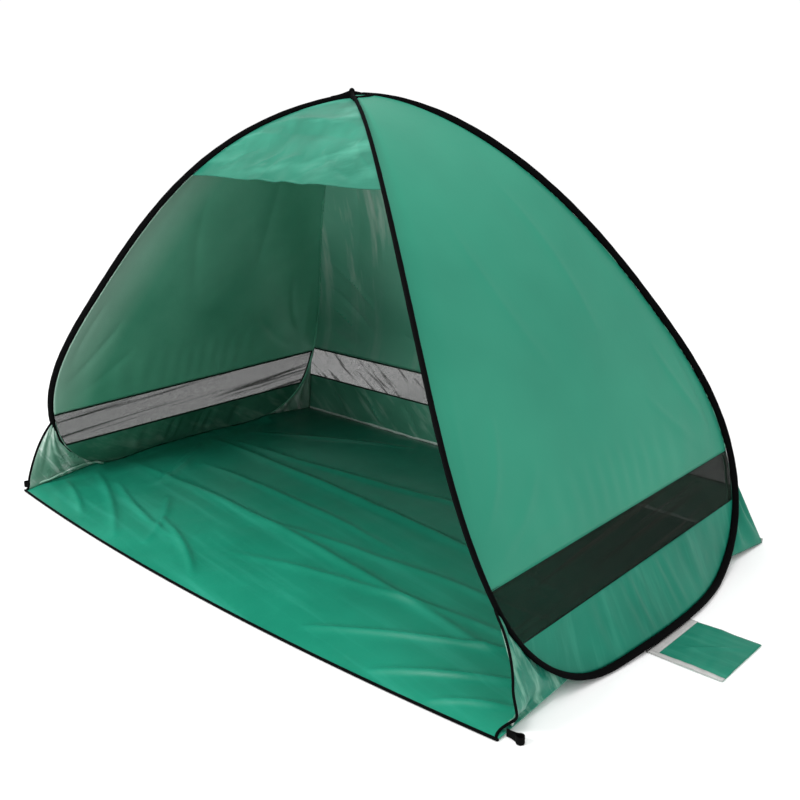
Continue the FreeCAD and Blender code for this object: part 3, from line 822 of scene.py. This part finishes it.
# folds in the back wall's left half, in (x, z), repeated in its right half
BACK_FOLDS = [
    ((-0.30, 1.12), (-0.62, 0.52), 0.022, 0.0060, 0.03),
    ((-0.24, 1.14), (-0.46, 0.50), 0.018, -0.0060, 0.03),
    ((-0.18, 1.14), (-0.34, 0.52), 0.020, 0.0070, 0.02),
    ((-0.10, 1.16), (-0.16, 0.50), 0.018, -0.0050, 0.02),
    ((-0.04, 1.12), (0.02, 0.60), 0.016, 0.0055, 0.01),
    ((-0.86, 0.36), (-0.56, 0.33), 0.009, 0.0090, 0.01),
    ((-0.86, 0.44), (-0.58, 0.36), 0.010, 0.0085, -0.02),
    ((-0.82, 0.54), (-0.60, 0.38), 0.010, -0.0070, 0.02),
    ((-0.78, 0.62), (-0.52, 0.40), 0.012, 0.0080, 0.02),
    ((-0.70, 0.74), (-0.46, 0.46), 0.012, -0.0060, 0.02),
    ((-0.40, 0.44), (-0.16, 0.34), 0.010, 0.0050, 0.01),
]


def back_wall():
    net_low, net_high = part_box("back_mesh_window")
    z0, z1 = net_low.z, net_high.z
    ground = floor_corner(HOOPS["right"], "rear")[2]

    t = np.linspace(0, 1, 150)
    z = z1 + (CROWN_KEY - z1) * (1 - (1 - t) ** 2)
    grid = mirrored_grid(HOOPS["right"].at("rear", z), 190)
    x, h = grid[..., 0], grid[..., 2]
    fade = edge_fade(*grid.shape[:2], reach=0.1)
    swell = 0.006 * fade + 0.002 * fade * noise(x, h, 11, 0.4)
    for mirror in (1, -1):
        for start, end, width, height, bend in BACK_FOLDS:
            a, b = (mirror * start[0], start[1]), (mirror * end[0], end[1])
            swell += fade * crease(x, h, a, b, width, height, mirror * bend)
    upper = sheet_piece("back_upper_cloth", settle(grid, -1, swell), BACK_INNER, OUTER, cut=grid)
    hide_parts("back_upper_panel")

    z = np.linspace(z0, z1, 18)
    grid = mirrored_grid(back_edge(z), 190)
    x, h = grid[..., 0], grid[..., 2]
    fade = edge_fade(*grid.shape[:2], reach=0.2)
    swell = fade * (0.004 + 0.002 * noise(x, h, 13, 0.16))
    for k in range(8):
        at = -0.78 + 0.21 * k
        swell += fade * crease(x, h, (at, 0.31), (at + 0.10, 0.17), 0.007, 0.009 * (-1) ** k)
    net = sheet_piece("back_netting", settle(grid, -1, swell), BACK_NETTING, thickness=NETTING,
                      cut=grid)
    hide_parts("back_mesh_window")

    z = np.linspace(ground + 0.001, z0, 22)
    grid = mirrored_grid(back_edge(z), 190)
    x, h = grid[..., 0], grid[..., 2]
    fade = edge_fade(*grid.shape[:2], reach=0.2)
    swell = fade * (0.0022 * noise(x, h, 17, 0.18))
    for k in range(9):
        at = -0.82 + 0.2 * k
        swell += fade * crease(x, h, (at, 0.16), (at + 0.06, 0.02), 0.008, 0.007 * (-1) ** k)
    lower = sheet_piece("back_lower_cloth", settle(grid, -1, swell), SHADED_INNER, SHADED_OUTER, cut=grid)
    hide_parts("back_lower_panel")

    for name, height in (("window_lower", z0), ("window_upper", z1)):
        right = back_edge(height)[0]
        line = np.linspace(-1, 1, 160)[:, None] * np.array([right[0], 0, 0])
        line = line + np.array([0, right[1] - BINDING_INSIDE, right[2]])
        bar = sweep("back_" + name + "_binding", line, BINDING_WIDTH, BINDING_THICK, DARK)
        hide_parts("back_" + name + "_tape")
        fan(bar, back_x)

    for piece, slot_name in ((upper, "green_cloth"), (net, "mesh"), (lower, "green_cloth")):
        fan(piece, back_x)


# wrinkles in the visor, in (x, z): level ones near the crown, slanting ones above its edge
VISOR_FOLDS = [
    ((-0.26, 1.186), (0.18, 1.200), 0.013, 0.0075, 0.01),
    ((-0.16, 1.214), (0.20, 1.224), 0.012, 0.0060, -0.01),
    ((-0.10, 1.172), (0.22, 1.162), 0.013, -0.0060, 0.01),
    ((-0.32, 1.146), (-0.06, 1.166), 0.013, 0.0075, 0.01),
    ((-0.38, 1.076), (-0.22, 1.150), 0.012, 0.0090, 0.01),
    ((-0.29, 1.072), (-0.12, 1.144), 0.012, -0.0070, 0.01),
    ((-0.20, 1.068), (-0.04, 1.132), 0.012, 0.0085, -0.01),
    ((-0.08, 1.070), (0.05, 1.120), 0.011, 0.0065, 0.01),
    ((0.36, 1.084), (0.21, 1.162), 0.013, 0.0085, 0.01),
    ((0.27, 1.072), (0.11, 1.138), 0.012, 0.0070, 0.01),
    ((0.05, 1.068), (0.18, 1.116), 0.011, -0.0060, 0.01),
]


def visor():
    hem_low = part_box("visor_hem")[0]
    edge_z = hem_low.z
    rows, columns = 90, 160
    t = np.linspace(0, 1, rows)
    z = edge_z + (CROWN_KEY - edge_z) * (1 - (1 - t) ** 2)
    grid = mirrored_grid(HOOPS["right"].at("front", z), columns)
    x, h = grid[..., 0], grid[..., 2]
    u = np.linspace(-1, 1, columns)[None, :]
    fade = edge_fade(rows, columns, reach=0.12)
    side_fade = np.clip((1 - np.abs(u)) / 0.12, 0, 1)
    swell = fade * 0.003 * noise(x, h, 19, 0.25)
    for start, end, width, height, bend in VISOR_FOLDS:
        swell += fade * crease(x, h, start, end, width, height, bend)
    low_part = np.clip(1 - (h - edge_z) / 0.05, 0, 1)
    swell = swell + low_part * side_fade * 0.004 * np.sin(x * 38 + 2 * np.sin(x * 11))
    smooth, grid = grid, settle(grid, 1, swell)
    cloth = sheet_piece("visor_cloth", grid, VISOR_CLOTH, INNER, cut=smooth)
    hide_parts("visor_panel")

    # the turned hem, a second layer just under the edge, following its waves
    band = grid[:13] - grid_normals(grid)[:13] * 0.0016
    hem = sheet_piece("visor_hem_cloth", band, VISOR_CLOTH, INNER, cut=smooth[:13])
    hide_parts("visor_hem")
    for piece in (cloth, hem):
        fan(piece, strand_x("front"))


def floor_half_width(y):
    """How far out the ground sheet reaches: to the hoops where they lie low, else to its corners."""
    side = floor_side()
    return np.interp(y, side[:, 1], side[:, 0])


def floor_edge_height(y):
    side = floor_side()
    return np.interp(y, side[:, 1], side[:, 2])


def floor_side():
    """The ground sheet's right edge, from its front corner along the hoop to its rear corner."""
    hoop = HOOPS["right"]
    on_ground = hoop.seam[hoop.seam[:, 2] < GUSSET_FOOT]
    on_ground = on_ground[on_ground[:, 1].argsort()]
    return np.vstack([floor_corner(hoop, "front"), on_ground, floor_corner(hoop, "rear")])


def front_bow(share):
    """The front edge's y at a share of the half width: a shallow curve forward of the corners."""
    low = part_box("front_floor_piping")[0].y + PIPING
    corner = floor_corner(HOOPS["right"], "front")[1]
    return low + (corner - low) * share**2


def ground_sheet():
    rows, columns = 170, 280
    u = np.linspace(-1, 1, columns)[None, :]
    v = np.linspace(0, 1, rows)[:, None]
    rear = floor_corner(HOOPS["right"], "rear")[1]
    corner = floor_corner(HOOPS["right"], "front")[1]
    y_plain = corner + (rear - corner) * v + 0 * u
    bow = (front_bow(np.abs(u)) - corner) * (1 - v) ** 2
    x = u * floor_half_width(y_plain)
    y = y_plain + bow
    edge = np.clip((np.abs(u) - 0.93) / 0.07, 0, 1) ** 2 + 0 * v
    z = FLOOR_REST + edge * (floor_edge_height(y_plain) - FLOOR_REST)
    fade = edge_fade(rows, columns, reach=0.04)
    folds = 0.0022 * (1 + noise(x, y, 23, 0.42))
    for start, end, width, height, bend in FLOOR_FOLDS:
        folds = folds + crease(x, y, start, end, width, height, bend)
    smooth = np.stack([x, y, z], axis=-1)
    grid = np.stack([x, y, z + fade * np.maximum(folds, 0)], axis=-1)
    cloth = sheet_piece("ground_cloth", grid, FLOOR_CLOTH, thickness=0.0016, cut=smooth)
    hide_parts("ground_sheet")
    fan(cloth, lambda z_: np.full(len(z_), floor_corner(HOOPS["right"], "rear")[0]))

    share = np.linspace(-1, 1, 260)
    half = floor_corner(HOOPS["right"], "rear")[0]
    line = np.stack([share * half, front_bow(np.abs(share)), np.full(260, PIPING + 0.0004)], axis=1)
    front = sweep("front_floor_binding", line, 2.1 * PIPING, 2.0 * PIPING, BLACK, power=2.0)
    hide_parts("front_floor_piping")
    line = np.stack([share * half, np.full(260, rear), np.full(260, 2.1 * PIPING + 0.0006)], axis=1)
    line[:, 2] += 0.0012 * (1 + np.sin(share * 41 + 3 * np.sin(share * 13)))
    back = sweep("rear_floor_binding", line, 4.2 * PIPING, 2.2 * PIPING, SEAM_TAPE, power=2.0)
    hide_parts("rear_floor_piping")
    for piece in (front, back):
        fan(piece, lambda z_: np.full(len(z_), half))


# long soft folds in the ground sheet: start, end, half width, height and sideways bend
FLOOR_FOLDS = [
    ((-1.00, 0.10), (0.80, -0.05), 0.017, 0.0125, 0.02),
    ((-0.98, -0.26), (0.90, -0.42), 0.018, 0.0120, 0.05),
    ((-0.80, -0.10), (0.30, -0.16), 0.013, 0.0070, 0.03),
    ((-0.92, 0.24), (-0.30, 0.54), 0.014, 0.0080, 0.02),
    ((-0.90, 0.14), (0.50, 0.30), 0.015, 0.0080, -0.03),
    ((-0.30, -0.30), (0.95, -0.20), 0.016, 0.0070, 0.04),
    ((-0.10, -0.48), (0.90, -0.30), 0.015, 0.0080, 0.03),
    ((0.36, -0.63), (0.98, -0.30), 0.014, 0.0130, 0.02),
    ((0.62, -0.66), (0.98, -0.42), 0.013, 0.0130, 0.01),
    ((0.80, -0.66), (0.98, -0.54), 0.012, 0.0100, 0.01),
    ((-0.98, -0.40), (-0.44, -0.66), 0.012, 0.0110, 0.02),
    ((-0.84, -0.40), (-0.32, -0.54), 0.011, 0.0095, -0.02),
    ((-0.46, -0.48), (-0.06, -0.65), 0.012, 0.0120, 0.02),
    ((-0.60, -0.36), (-0.34, -0.62), 0.010, 0.0080, 0.02),
    ((-0.98, -0.52), (-0.66, -0.64), 0.010, 0.0090, 0.01),
    ((-0.94, 0.02), (-0.72, -0.34), 0.013, 0.0090, 0.02),
]


# ---- the hoops' sleeves and the crossing ----
def hoop_sleeve(hoop):
    far = np.linalg.norm(hoop.line - CROWN, axis=1)
    keep = far > 0.030
    line, out = hoop.line[keep], hoop.out[keep]
    s = lengths_along(line)
    size = hoop.size[keep] * (1 + 0.02 * np.sin(s * 46) + 0.015 * np.sin(s * 113 + 1))
    sleeve = sweep(hoop.side + "_hoop_sleeve", line, SLEEVE_WIDTH, SLEEVE_THICK, BLACK, out=out,
                   taper=size)
    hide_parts(hoop.side + "_frame_sleeve")
    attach(sleeve, hoop.side + "_side")


def crossing():
    """The strands' last stretch over the crown, one above the other, and the nub between them.

    A hoop's line is near the crown at both of its ends, and both are taken in here, so each strand
    also jumps across the cloth between them. That is a known fault.
    """
    right, left = HOOPS["right"], HOOPS["left"]
    for name, front, rear, lift in (("over", right.line, left.line[::-1], 0.0045),
                                    ("under", left.line, right.line[::-1], -0.0045)):
        near_front = front[np.linalg.norm(front - CROWN, axis=1) < CROSSING_HALF][::-1]
        near_rear = rear[np.linalg.norm(rear - CROWN, axis=1) < CROSSING_HALF]
        line = smooth_line(np.vstack([near_front, near_rear[1:]]), 0.003)
        middle = np.exp(-(np.linalg.norm(line - CROWN, axis=1) / 0.022) ** 2)
        line = line + np.array([0, 0, lift]) * middle[:, None]
        strand = sweep("crossing_" + name, line, SLEEVE_WIDTH, SLEEVE_THICK, BLACK,
                       taper=np.linspace(FRONT_NARROW, REAR_NARROW, len(line)) + 0.12 * middle)
        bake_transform(strand)
    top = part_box("crown_wrap")[1].z
    steps = np.linspace(0, 1, 14)
    rise = np.stack([np.full(14, CROWN[0]), np.full(14, CROWN[1]),
                     CROWN[2] + (top - CROWN[2]) * steps], axis=1)
    nub = sweep("crown_nub", rise, 0.017, 0.015, BLACK, out=np.tile([1.0, 0, 0], (14, 1)),
                taper=np.sqrt(np.clip(1 - steps**4, 0.02, 1)))
    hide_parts("crown_wrap")
    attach(nub, "left_side")


# ---- flaps and peg loops ----
FLAP_TUCK = 0.014               # the flap's sewn edge is this far under the sleeve


def flap(hoop):
    side, sign = hoop.side, hoop.sign
    cloth_low, cloth_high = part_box(side + "_sand_flap")
    hem_low, hem_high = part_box(side + "_sand_flap_hem")
    hinge_x = hem_low.x if sign > 0 else hem_high.x
    inner = hinge_x - sign * FLAP_TUCK
    outer = cloth_high.x if sign > 0 else cloth_low.x
    y0, y1 = hem_low.y, cloth_high.y
    inset = abs((cloth_low.x if sign > 0 else cloth_high.x) - inner)
    rows, columns = 34, 32
    u, v = np.linspace(0, 1, columns)[None, :], np.linspace(0, 1, rows)[:, None]
    x = inner + (outer - inner) * u + 0 * v
    y = y0 + (y1 - y0) * v + 0 * u
    y = y + 0.003 * np.sin(u * 2.4 + 0.5) * (v - 0.5)
    free = np.clip((np.abs(x - hinge_x) - FLAP_TUCK) / 0.05, 0, 1)
    fold = crease(x, y, (inner + sign * 0.03, -0.10), (inner + sign * 0.17, 0.03), 0.006, 0.004)
    wave = 0.0008 + (0.0008 + 0.0012 * (1 + noise(x, y, 31, 0.09)) + fold) * free
    grid = np.stack([x, y, wave], axis=-1)
    smooth = np.stack([x, y, 0 * wave], axis=-1)
    cloth = sheet_piece(side + "_flap_cloth", grid, *skins(sign, SHADED_OUTER), cut=smooth)
    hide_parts(side + "_sand_flap")
    normal = np.array([0, 0, 1.0])
    band_u = u[0] <= (inset + 0.002) / abs(outer - inner)
    seam = grid[:, band_u] + normal * 0.0013
    edge = grid[:3] + normal * 0.0014
    edge[0] += np.array([0, -0.0016, -0.0018])
    first = sheet_piece(side + "_flap_seam_hem", seam, SILVER, cut=smooth[:, band_u])
    second = sheet_piece(side + "_flap_front_hem", edge, SILVER, cut=smooth[:3])
    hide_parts(side + "_sand_flap_hem")
    for piece in (cloth, first, second):
        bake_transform(piece)


def peg_loop(hoop):
    """Black webbing from the floor's corner, folded back on itself round the peg's eye."""
    side, sign = hoop.side, hoop.sign
    low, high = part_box(side + "_peg_loop")
    y = (low.y + high.y) / 2
    x0, x1 = (low.x, high.x) if sign > 0 else (high.x, low.x)
    middle = (low.z + high.z) / 2 + 0.003
    eye = 0.0078
    eye_x = x1 - sign * (eye - 0.0015)
    turn = np.linspace(-0.78 * math.pi, 0.78 * math.pi, 30)
    ring = np.stack([eye_x + sign * np.cos(turn) * (eye + 0.0008), y + np.sin(turn) * (eye + 0.0008),
                     np.full(30, middle)], axis=1)
    root = x0 - sign * 0.006
    tail_a = np.array([[root, y - 0.0010, middle], [root + (eye_x - root) * 0.45, y - 0.0012, middle]])
    tail_b = tail_a[::-1] * np.array([1, 0, 1]) + np.array([0, y + 0.0012, 0])
    line = smooth_line(np.vstack([tail_a, ring, tail_b]), 0.0012)
    strap = sweep(side + "_peg_strap", line, 0.0180, 0.0018, WEBBING, power=5.0)
    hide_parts(side + "_peg_loop")
    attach(strap, side + "_side")


# ---- hidden steel ----
def hidden_steel():
    for side in HOOPS:
        for name in ("frame_wire", "wire_ferrule"):
            part = frame["nodes"][side + "_" + name]
            part.data.materials.clear()
            part.data.materials.append(STEEL)


# ---- stage ----
def camera():
    data = bpy.data.cameras.new("camera")
    data.lens, data.sensor_width = 44.0, 36.0
    data.clip_start, data.clip_end = 0.05, 60
    made = bpy.data.objects.new("camera", data)
    made.location = (2.02, -2.053, 1.248)
    made.rotation_euler = (math.radians(73.25), 0, math.radians(42.8))
    bpy.context.scene.collection.objects.link(made)
    bpy.context.scene.camera = made


def area_light(name, place, aim, size, power):
    data = bpy.data.lights.new(name, "AREA")
    data.shape, data.size, data.energy = "DISK", size, power
    lamp = bpy.data.objects.new(name, data)
    lamp.location = place
    lamp.rotation_euler = (Vector(aim) - Vector(place)).to_track_quat("-Z", "Y").to_euler()
    bpy.context.scene.collection.objects.link(lamp)


def stage():
    world = bpy.data.worlds.new("world")
    world.use_nodes = True
    world.node_tree.nodes["Background"].inputs["Color"].default_value = (1.0, 1.0, 1.0, 1)
    world.node_tree.nodes["Background"].inputs["Strength"].default_value = 1.03
    bpy.context.scene.world = world
    bpy.context.scene.view_settings.view_transform = "Standard"
    area_light("key", (-1.0, -4.2, 2.8), (0, 0, 0.3), 1.4, 130)
    area_light("fill", (3.4, -3.0, 2.6), (0.4, 0, 0.5), 2.2, 6)
    area_light("top", (0.8, -0.8, 4.6), (0.2, 0, 0.6), 1.8, 45)
    size = GROUND_SIZE
    points = np.array([[-size, -size, 0], [size, -size, 0], [size, size, 0], [-size, size, 0]], float)
    points[:, 2] = GROUND_LEVEL
    pale, nodes, _ = material("pale_floor", "none")
    nodes["Principled BSDF"].inputs["Base Color"].default_value = (0.98, 0.98, 0.98, 1)
    nodes["Principled BSDF"].inputs["Roughness"].default_value = 0.9
    floor = mesh_piece("studio_floor", points, np.array([[0, 1, 2, 3]]), [pale])


def main():
    camera()
    for hoop in HOOPS.values():
        hoop_sleeve(hoop)
        side_wall(hoop)
        front_gusset(hoop)
        rear_gusset(hoop)
        rear_seam(hoop)
        rear_foot_seam(hoop)
        front_side_seam(hoop)
        flap(hoop)
        peg_loop(hoop)
    crossing()
    back_wall()
    visor()
    ground_sheet()
    hidden_steel()
    stage()


main()
